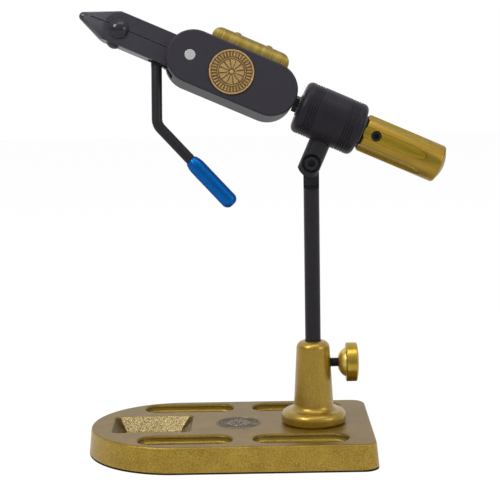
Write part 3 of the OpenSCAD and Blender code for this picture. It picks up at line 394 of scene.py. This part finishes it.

# Non-slip sheet.
# A thin sheet of black ribbed rubber is glued under the base. It is drawn out past the CAD
# sheet to the outline of the foot, where its dark edge is painted contact shadow.


def stretched(tree, place, scale):
    """Coordinates scaled along their axes, so that a pattern on them is drawn out."""
    mapping = tree.nodes.new("ShaderNodeMapping")
    mapping.inputs["Scale"].default_value = scale
    tree.links.new(place, mapping.inputs["Vector"])
    return mapping.outputs["Vector"]


SHEET_SHADOW_WIDER, SHEET_SHADOW_REAR, SHEET_REAR_FROM = 0.0008, 0.0016, 0.02
MERGE = 0.0000001
rubber, tree, shader, place = finish("ribbed rubber", (0.010, 0.008, 0.005), metallic=0.0,
                                     roughness=0.8, specular=0.1)
ribs = noise(tree, stretched(tree, place, (0.05, 1, 1)), size=0.0012, detail=1)
relief(tree, shader, edge=0.0001, height=ribs, depth=0.0003)
sheet, melt = merged_copy("ribbed_sheet", "base_sheet", distance=MERGE)
low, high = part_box("base_sheet")
# The sheet is made wider and longer than the CAD sheet, out to the foot's edge, as painted contact
# shadow.
for vertex in melt.verts:
    x, y, z = vertex.co
    vertex.co.y = y * (high[1] + SHEET_SHADOW_WIDER) / high[1]
    if x > SHEET_REAR_FROM:
        vertex.co.x = x + SHEET_SHADOW_REAR
    elif x < 0:
        vertex.co.x = x - SHEET_SHADOW_WIDER * x / low[0]
settle(sheet, melt)
sheet.data.materials.append(rubber)
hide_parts("base_sheet")
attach(sheet, "base")
dress(rubber, "base_sheet")

# Disc in the base.
# A struck disc of dark antique metal, pressed into a shallow recess in the base. One die gives
# it its rim, its ring of ribs and its rosette, and the lows have kept their dark patina.


def pick(piece, rule):
    """Selects those faces of the piece in edit mode that the rule holds for."""
    mesh = bmesh.from_edit_mesh(piece.data)
    for face in mesh.faces:
        face.select_set(False)
    for face in mesh.faces:
        if rule(face):
            face.select_set(True)
    bmesh.update_edit_mesh(piece.data)


def in_place(piece, matrix):
    """Puts a piece that was modelled at the origin in its place, in its own mesh."""
    piece.matrix_world = matrix
    bpy.ops.object.transform_apply(location=True, rotation=True, scale=True)


DISC_SIDES, DISC_CREASE, FACES_UP = 144, 35, 0.9
RIM_SHARE, WALL_SHARE, BEAD_RISE, BOSS_RISE, RAISED = 0.055, 0.6, 0.7, 0.8, 0.8
RIB_SHARE, RIB_BEVEL = 0.6, 0.00012
PETAL_FROM, PETAL_TO, PETAL_BEVEL = 0.12, 0.88, 0.00015


def strike(name, radius, thick, rib_r, rib_l, ribs, petal_r, petal_l, petals, relief_h, matrix):
    """Models a struck disc that lies on z = 0, and puts it in its place."""
    bpy.ops.object.select_all(action="DESELECT")
    bpy.ops.mesh.primitive_cylinder_add(vertices=DISC_SIDES, radius=radius,
                                        depth=thick - relief_h,
                                        location=(0, 0, (thick - relief_h) / 2))
    disc = bpy.context.object
    disc.name = name
    bpy.ops.object.transform_apply(location=True)
    bpy.ops.object.mode_set(mode="EDIT")
    bpy.ops.mesh.select_mode(type="FACE")
    pick(disc, lambda face: face.normal.z > FACES_UP)
    wall = relief_h * WALL_SHARE
    rim = radius * RIM_SHARE
    gap = rib_r - petal_r - petal_l
    # From the edge inwards: the rim, the ring of the ribs, a bead, the ring of the petals, a boss.
    insets = [(wall, relief_h), (rim, 0), (wall, -relief_h),
              (radius - 2 * wall - rim - rib_r - rib_l, 0), (rib_l, 0),
              (gap * 0.3, 0), (gap * 0.15, relief_h * BEAD_RISE), (gap * 0.1, 0),
              (gap * 0.15, -relief_h * BEAD_RISE), (gap * 0.3, 0), (petal_l, 0),
              (petal_r * 0.25, 0), (petal_r * 0.15, relief_h * BOSS_RISE),
              (petal_r * 0.3, relief_h * (1 - BOSS_RISE))]
    for run, rise in insets:
        bpy.ops.mesh.inset(thickness=run, depth=rise)

    def turn(face):
        middle = face.calc_center_median()
        return (atan2(middle.y, middle.x) / (2 * pi)) % 1

    def within(face, inner, outer):
        middle = face.calc_center_median()
        return face.normal.z > FACES_UP and inner < hypot(middle.x, middle.y) < outer

    pick(disc, lambda face: within(face, rib_r, rib_r + rib_l)
         and turn(face) * ribs % 1 < RIB_SHARE)
    bpy.ops.mesh.inset(thickness=RIB_BEVEL, depth=relief_h * RAISED)
    pick(disc, lambda face: within(face, petal_r, petal_r + petal_l)
         and PETAL_FROM < turn(face) * petals % 1 < PETAL_TO)
    bpy.ops.mesh.inset(thickness=PETAL_BEVEL, depth=relief_h * RAISED)
    bpy.ops.object.mode_set(mode="OBJECT")
    bpy.ops.object.shade_smooth_by_angle(angle=radians(DISC_CREASE))
    in_place(disc, matrix)
    return disc


def struck_level(tree, place, matrix, dark_at, bright_at):
    """Runs from 0 to 1 as a point's height on the disc goes from dark_at to bright_at."""
    up = (matrix.to_3x3() @ Vector((0, 0, 1))).normalized()
    node = tree.nodes.new("ShaderNodeVectorMath")
    node.operation = "DOT_PRODUCT"
    node.inputs[1].default_value = up
    tree.links.new(place, node.inputs[0])
    above = sums(tree, "SUBTRACT", node.outputs["Value"], matrix.translation.dot(up))
    span = bright_at - dark_at
    return sums(tree, "MULTIPLY_ADD", above, 1 / span, -dark_at / span)


RECESS_DEPTH = 0.00145
base_recess = Matrix.Translation((DISC_X, 0, BASE_TOP - RECESS_DEPTH))
base_medallion = strike("base_medallion", radius=0.0138, thick=0.0016, rib_r=0.0095,
                        rib_l=0.0026, ribs=36, petal_r=0.0020, petal_l=0.0058, petals=12,
                        relief_h=0.0003, matrix=base_recess)
pewter, tree, shader, place = finish("antique grey", (0.16, 0.16, 0.17), metallic=0.85,
                                     roughness=0.40)
level = struck_level(tree, place, base_recess, dark_at=0.0012, bright_at=0.0016)
worn = uneven(tree, level, noise(tree, place, size=0.0009, detail=4), share=1.0)
coloured(tree, shader, tint(tree, worn, (0.027, 0.020, 0.011), (0.150, 0.115, 0.064),
                            start=0.1, stop=0.9))
pits = noise(tree, place, size=0.0006, detail=3)
relief(tree, shader, edge=0.0001, height=pits, depth=0.0001)
base_medallion.data.materials.append(pewter)
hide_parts("base_disc")
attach(base_medallion, "base")

# Pedestal.
# The pedestal is turned from steel bar, with a flange, a cove and a taper, and bored for the
# stem. It is enamelled in the same gold as the base, but smooth, under a glossy clear coat.
enamel, tree, shader, place = finish("smooth gold enamel", (0.24, 0.155, 0.02), metallic=0.7,
                                     roughness=0.36, coat=0.35, coat_roughness=0.16)
grain = noise(tree, place, size=0.0008, detail=3)
clouds = noise(tree, place, size=0.010)
mottle = uneven(tree, grain, clouds, share=0.5)
coloured(tree, shader, tint(tree, mottle, (0.245, 0.146, 0.009), (0.33, 0.210, 0.017)))
relief(tree, shader, edge=0.0004, height=grain, depth=0.00008)
dress(enamel, "pedestal")

# Bolt and washer under the pedestal.
# A socket head bolt of steel with a black oxide holds the pedestal from below. The washer under
# its head is ground bright.
blued, tree, shader, place = finish("black oxide steel", (0.013, 0.011, 0.014), metallic=0.0,
                                    roughness=0.38, specular=0.15)
grain = noise(tree, place, size=0.0006)
coloured(tree, shader, tint(tree, grain, (0.010, 0.009, 0.011), (0.016, 0.014, 0.017)))
roughened(tree, shader, grain, least=0.32, more=0.15)
relief(tree, shader, edge=0.00025, height=grain, depth=0.00001)
dress(blued, "pedestal_bolt")
bright, tree, shader, place = finish("ground steel", (0.62, 0.64, 0.64), metallic=1.0,
                                     roughness=0.25)
grain = noise(tree, place, size=0.0004)
coloured(tree, shader, tint(tree, grain, (0.65, 0.67, 0.67), (0.79, 0.81, 0.81)))
relief(tree, shader, edge=0.0001, height=grain, depth=0.00001)
dress(bright, "pedestal_washer")

# Clamp screw.
# A knob turned from gold anodised bar is fixed on a black threaded stud. The stud's end presses
# a bronze tip against the stem.
HUB_L, KNOB_ROUGH = 0.0046, 0.30
turned, tree, shader, place = finish("turned gold metal", (0.44, 0.31, 0.05), metallic=1.0,
                                     roughness=KNOB_ROUGH)
HUB_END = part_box("clamp_knob")[0][0] + HUB_L
rings = noise(tree, stretched(tree, place, (1, 0.03, 0.03)), size=0.0004)
knob_axes = tree.nodes.new("ShaderNodeSeparateXYZ")
tree.links.new(place, knob_axes.inputs[0])
on_hub = sums(tree, "LESS_THAN", knob_axes.outputs["X"], HUB_END)
turned_gold = tint(tree, rings, (0.33, 0.22, 0.026), (0.46, 0.32, 0.055))
# The hub is painted much lighter than the rim, as painted reflection.
hub_painted_light = tint(tree, rings, (0.56, 0.41, 0.085), (0.78, 0.60, 0.18))
coloured(tree, shader, blend(tree, on_hub, turned_gold, hub_painted_light))
roughened(tree, shader, on_hub, least=KNOB_ROUGH, more=0.12)
relief(tree, shader, edge=0.0003, height=rings, depth=0.00002)
dress(turned, "clamp_knob")


def step_out(rise, grow):
    """Extrudes the selected ring along z by rise and scales it by grow."""
    bpy.ops.mesh.extrude_edges_move(TRANSFORM_OT_translate={"value": (0, 0, rise)})
    bpy.ops.transform.resize(value=(grow, grow, 1), center_override=(0, 0, 0))


TURNED_SIDES = 64


def turn_piece(name, stations, matrix, crease):
    """Turns a piece from (z, radius) stations, closed at both ends, and puts it in its place."""
    bpy.ops.object.select_all(action="DESELECT")
    bpy.ops.mesh.primitive_circle_add(vertices=TURNED_SIDES, radius=stations[0][1],
                                      location=(0, 0, 0))
    piece = bpy.context.object
    piece.name = name
    bpy.ops.object.mode_set(mode="EDIT")
    bpy.ops.mesh.select_all(action="SELECT")
    bpy.ops.transform.translate(value=(0, 0, stations[0][0]))
    bpy.ops.mesh.edge_face_add()
    bpy.ops.mesh.select_mode(type="EDGE")
    for (z, r), (next_z, next_r) in zip(stations, stations[1:]):
        step_out(next_z - z, next_r / r)
    bpy.ops.mesh.edge_face_add()
    bpy.ops.mesh.select_all(action="SELECT")
    bpy.ops.mesh.normals_make_consistent(inside=False)
    bpy.ops.object.mode_set(mode="OBJECT")
    bpy.ops.object.shade_smooth_by_angle(angle=radians(crease))
    in_place(piece, matrix)
    return piece


stud_low, stud_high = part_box("clamp_stud")
knob_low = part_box("clamp_knob")[0]
clamp_z = (stud_low[2] + stud_high[2]) / 2
to_screw = Matrix.Rotation(pi / 2, 4, "Y")
# The knob's profile starts in its blind bore, and runs over the hub, the rim and the domed end.
KNOB_BORE_R, END_R = 0.00292, 0.0005
bore_end = stud_high[0] - knob_low[0]
knob_stations = [(bore_end, END_R), (bore_end, KNOB_BORE_R), (0, KNOB_BORE_R), (0, 0.0041),
                 (0.0003, 0.0047), (0.0010, 0.0060), (0.0019, 0.0071), (0.0030, 0.0081),
                 (0.0042, 0.0087), (HUB_L, 0.0089), (HUB_L, 0.0112), (0.0048, 0.0116),
                 (0.0052, 0.0119), (0.0109, 0.0119), (0.0113, 0.0116), (0.0116, 0.0110),
                 (0.0120, 0.0085), (0.0124, 0.0055), (0.0126, 0.0025), (0.01265, 0.0003)]
knob = turn_piece("turned_knob", knob_stations,
                  Matrix.Translation((knob_low[0], 0, clamp_z)) @ to_screw, crease=30)
knob.data.materials.append(turned)
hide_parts("clamp_knob")
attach(knob, "clamp_screw")

# The stud's profile starts in the bore for the tip's pin, and runs over the thread to its end.
STUD_R, STUD_CHAMFER, THREAD_R, THREAD_PITCH = 0.0029, 0.0004, 0.00245, 0.0010
PIN_BORE_R, PIN_BORE_L = 0.00135, 0.00205
stud_l = stud_high[0] - stud_low[0]
stud_stations = [(PIN_BORE_L, END_R), (PIN_BORE_L, PIN_BORE_R), (0, PIN_BORE_R),
                 (0, STUD_R - STUD_CHAMFER), (STUD_CHAMFER, STUD_R)]
for turn in range(int((stud_l - THREAD_PITCH) / THREAD_PITCH)):
    z = STUD_CHAMFER + turn * THREAD_PITCH
    stud_stations += [(z + THREAD_PITCH / 2, THREAD_R), (z + THREAD_PITCH, STUD_R)]
stud_stations += [(stud_l, STUD_R), (stud_l, END_R)]
stud = turn_piece("threaded_stud", stud_stations,
                  Matrix.Translation((stud_low[0], 0, clamp_z)) @ to_screw, crease=25)
stud.data.materials.append(blued)
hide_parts("clamp_stud")
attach(stud, "clamp_screw")

bronze, tree, shader, place = finish("bronze", (0.50, 0.27, 0.08), metallic=0.95, roughness=0.35)
grain = noise(tree, place, size=0.0009, detail=3)
coloured(tree, shader, tint(tree, grain, (0.36, 0.18, 0.055), (0.55, 0.32, 0.11)))
relief(tree, shader, edge=0.0001, height=grain, depth=0.00001)
dress(bronze, "clamp_tip")

# Stem, neck and tilt screw.
# The stem is a steel bar, blacked like the bolt, with a nylon plug in its foot that glides in the
# pedestal. A socket head screw joins its half-lap with that of the neck, so that the head tilts.
nylon, tree, shader, place = finish("nylon", (0.60, 0.58, 0.52), metallic=0.0, roughness=0.5)
relief(tree, shader, edge=0.0002, height=noise(tree, place, size=0.001), depth=0.00003)
dress(nylon, "stem_foot")
dress(blued, "stem", "tilt_screw", "neck")

# Barrel.
# The barrel is turned from steel bar, grooved for grip, and finished in a fine black satin. The
# head turns in its two bronze bushes, so the head's frame is set here.
TILT_Z, HEAD_TILT, HEAD_OUT, HEAD_ROLL = 0.176, 23.75, 0.02875, 13.3
HEAD = (Matrix.Translation((0, 0, TILT_Z)) @ Matrix.Rotation(radians(HEAD_TILT), 4, "Y")
        @ Matrix.Translation((0, 0, HEAD_OUT)) @ Matrix.Rotation(radians(-HEAD_ROLL), 4, "X"))


def measured_in(tree, place, matrix):
    """The coordinates as measured in the given frame."""
    mapping = tree.nodes.new("ShaderNodeMapping")
    spot, turn, _ = matrix.inverted().decompose()
    mapping.inputs["Location"].default_value = spot
    mapping.inputs["Rotation"].default_value = turn.to_euler()
    tree.links.new(place, mapping.inputs["Vector"])
    return mapping.outputs["Vector"]


satin, tree, shader, place = finish("black satin", (0.013, 0.011, 0.015), metallic=0.0,
                                    roughness=0.40, specular=0.13)
in_head = measured_in(tree, place, HEAD)
lathe = noise(tree, stretched(tree, in_head, (1, 0.04, 0.04)), size=0.0004)
coloured(tree, shader, tint(tree, lathe, (0.010, 0.008, 0.011), (0.014, 0.012, 0.016)))
relief(tree, shader, edge=0.00025, height=lathe, depth=0.00001)
dress(satin, "barrel_housing")
dress(bronze, "front_bush", "rear_bush")

# Shaft, jam nut and washers.
# A bright ground shaft carries the head in the bushes, and a black jam nut locks the head on it.
# Thin washers of dark nylon keep the head and its knob off the ends of the barrel.
dark_nylon, tree, shader, place = finish("dark nylon", (0.03, 0.03, 0.033), metallic=0.0,
                                         roughness=0.5)
relief(tree, shader, edge=0.0002, height=noise(tree, place, size=0.001), depth=0.00003)
dress(dark_nylon, "front_washer", "rear_washer")
dress(bright, "rotor_shaft")
dress(blued, "jam_nut")

# Rotary knob.
# The knob is milled from gold anodised bar, and a black set screw holds it on the shaft. Fine
# tool marks run along it, its flutes end in lens shaped run-outs, and painted shade darkens
# their edges.
KNOB_R, FLUTE_START, FLUTE_SOFT = 0.01145, -0.4, 0.00015
EDGE_AT, EDGE_SOFT, EDGE_PAINTED_SHADE = 0.00016, 0.00014, 0.75
milled, tree, shader, place = finish("milled gold metal", (0.44, 0.31, 0.05), metallic=1.0,
                                     roughness=0.40)
in_head = measured_in(tree, place, HEAD)
streaks = noise(tree, stretched(tree, in_head, (0.05, 1, 1)), size=0.0009, detail=3)
patches = noise(tree, stretched(tree, in_head, (0.25, 1, 1)), size=0.0035)
from_axis = tree.nodes.new("ShaderNodeVectorMath")
from_axis.operation = "LENGTH"
tree.links.new(stretched(tree, in_head, (0, 1, 1)), from_axis.inputs[0])
sunk = sums(tree, "SUBTRACT", KNOB_R, from_axis.outputs["Value"])
in_flute = clipped(tree, sums(tree, "MULTIPLY_ADD", sunk, 1 / FLUTE_SOFT, FLUTE_START))
off_edge = sums(tree, "ABSOLUTE", sums(tree, "SUBTRACT", sunk, EDGE_AT))
off_edge = sums(tree, "MULTIPLY", off_edge, 1 / EDGE_SOFT)
at_edge = sums(tree, "MAXIMUM", sums(tree, "SUBTRACT", 1.0, off_edge), 0.0)
land = blend(tree, patches, tint(tree, streaks, (0.26, 0.170, 0.018), (0.36, 0.250, 0.034)),
             (0.29, 0.170, 0.036))
flute = blend(tree, patches, tint(tree, streaks, (0.25, 0.172, 0.010), (0.36, 0.262, 0.022)),
              (0.31, 0.200, 0.026))
# Painted shade darkens the flute edges.
edge_painted_shade = sums(tree, "MULTIPLY", at_edge, EDGE_PAINTED_SHADE)
gold = blend(tree, edge_painted_shade, blend(tree, in_flute, land, flute), (0.12, 0.07, 0.008))
coloured(tree, shader, gold)
relief(tree, shader, edge=0.0002, height=streaks, depth=0.000012)

# The flutes end sooner than those of the CAD knob, and the rounded end stays as it is.
FLUTE_FROM, FLUTE_END, ROUND_FROM, FLUTE_SHORTER = 0.0340, 0.0645, 0.0692, 0.0029
to_head = HEAD.inverted()
fluted, melt = merged_copy("fluted_knob", "rotary_knob", distance=MERGE)
for vertex in melt.verts:
    spot = to_head @ vertex.co
    if FLUTE_FROM < spot.x <= FLUTE_END:
        spot.x -= FLUTE_SHORTER * (spot.x - FLUTE_FROM) / (FLUTE_END - FLUTE_FROM)
    elif FLUTE_END < spot.x < ROUND_FROM:
        spot.x -= FLUTE_SHORTER * (ROUND_FROM - spot.x) / (ROUND_FROM - FLUTE_END)
    vertex.co = HEAD @ spot
settle(fluted, melt)
fluted.data.materials.append(milled)
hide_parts("rotary_knob")
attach(fluted, "head")
dress(milled, "rotary_knob")
dress(blued, "knob_set_screw")

# Head body.
# The head is a block with round ends, milled from aluminium bar and slotted for the jaws and the
# cam. It is black anodised to a fine satin.
anodised, tree, shader, place = finish("black anodised", (0.020, 0.018, 0.024), metallic=0.0,
                                       roughness=0.48, specular=0.2)
grain = noise(tree, place, size=0.0005)
coloured(tree, shader, tint(tree, grain, (0.017, 0.0155, 0.021), (0.022, 0.020, 0.027)))
relief(tree, shader, edge=0.0003, height=grain, depth=0.00001)
dress(anodised, "head_body")

# Disc on the head.
# A struck bronze disc is pressed into the head's near face. Its rim is rubbed bright, and the
# lows of its ribs and rosette are dark.
HEAD_DISC_X, HEAD_DISC_Y = -0.065, -0.0118
head_recess = (HEAD @ Matrix.Translation((HEAD_DISC_X, HEAD_DISC_Y, 0))
               @ Matrix.Rotation(pi / 2, 4, "X"))
head_medallion = strike("head_medallion", radius=0.0135, thick=0.0018, rib_r=0.0090,
                        rib_l=0.0030, ribs=36, petal_r=0.0018, petal_l=0.0056, petals=12,
                        relief_h=0.0004, matrix=head_recess)
struck, tree, shader, place = finish("struck bronze", (0.50, 0.27, 0.08), metallic=0.85,
                                     roughness=0.36)
level = struck_level(tree, place, head_recess, dark_at=0.00135, bright_at=0.00185)
worn = uneven(tree, level, noise(tree, place, size=0.0010, detail=4), share=0.9)
coloured(tree, shader, tint(tree, worn, (0.13, 0.075, 0.028), (0.56, 0.38, 0.155),
                            start=0.0, stop=1.0))
pits = noise(tree, place, size=0.0005, detail=3)
relief(tree, shader, edge=0.0001, height=pits, depth=0.00008)
head_medallion.data.materials.append(struck)
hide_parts("head_disc")
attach(head_medallion, "head")

# Thumb rest.
# The thumb rest is milled from gold anodised bar, with fine marks across it, and two domed
# screws hold it on the head.
rested, tree, shader, place = finish("gold metal milled across", (0.44, 0.31, 0.05),
                                     metallic=1.0, roughness=0.46)
in_head = measured_in(tree, place, HEAD)
marks = noise(tree, stretched(tree, in_head, (1, 0.05, 0.05)), size=0.0007)
coloured(tree, shader, tint(tree, marks, (0.18, 0.125, 0.026), (0.27, 0.20, 0.052)))
relief(tree, shader, edge=0.0004, height=marks, depth=0.00004)
dress(rested, "thumb_rest", "thumb_rest_screws")

# Jaws.
# Both jaws are ground from tool steel, hardened and blacked, and a bright pin anchors each in the
# head. The guide pin through them, its cap and its screw are polished.
tool_steel, tree, shader, place = finish("black tool steel", (0.045, 0.042, 0.050),
                                         metallic=0.0, roughness=0.33)
grain = noise(tree, place, size=0.0007)
coloured(tree, shader, tint(tree, grain, (0.0120, 0.0100, 0.0165), (0.0190, 0.0160, 0.0255)))
roughened(tree, shader, grain, least=0.27, more=0.12)
relief(tree, shader, edge=0.00035, height=grain, depth=0.00001)
dress(tool_steel, "upper_jaw", "lower_jaw")
polished, tree, shader, place = finish("polished black steel", (0.02, 0.02, 0.024),
                                       metallic=0.0, roughness=0.14, specular=0.25)
grain = noise(tree, place, size=0.0009)
coloured(tree, shader, tint(tree, grain, (0.012, 0.011, 0.014), (0.019, 0.018, 0.022)))
relief(tree, shader, edge=0.0002, height=grain, depth=0.000006)
dress(polished, "guide_pin", "guide_pin_cap", "guide_pin_screw")
dress(bright, "jaw_anchor_pins")

# Lever.
# A steel plate with two cam noses opens the jaws, and a bent rod is pressed into it. Both are
# blacked like the bolt, and they turn on a bright ground pin through the head.
dress(blued, "lever_cam", "lever_rod")
dress(bright, "lever_pin")

# Grip.
# A sleeve of satin blue plastic is pushed on the end of the lever rod. Its shine is blue too, so
# the shader is partly metallic, and it is a little longer than the CAD sleeve.
blue, tree, shader, place = finish("satin blue plastic", (0.001, 0.045, 0.19), metallic=0.75,
                                   roughness=0.36)
shader.inputs["Specular Tint"].default_value = (0.0, 0.10, 0.35, 1)
grain = noise(tree, place, size=0.0012)
coloured(tree, shader, tint(tree, grain, (0.0040, 0.080, 0.285), (0.0040, 0.095, 0.330)))
relief(tree, shader, edge=0.0003, height=grain, depth=0.000002)
GRIP_START = Vector((-0.07164, -0.01290, 0.17932))
GRIP_AXIS = Vector((0.68076, -0.09259, -0.72663))
GRIP_L, GRIP_LONGER = 0.0351, 0.0009
sleeve, melt = merged_copy("grip_sleeve", "lever_grip", distance=MERGE)
for vertex in melt.verts:
    share = (vertex.co - GRIP_START).dot(GRIP_AXIS) / GRIP_L
    vertex.co += GRIP_AXIS * share * GRIP_LONGER
settle(sleeve, melt)
sleeve.data.materials.append(blue)
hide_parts("lever_grip")
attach(sleeve, "lever")
dress(blue, "lever_grip")
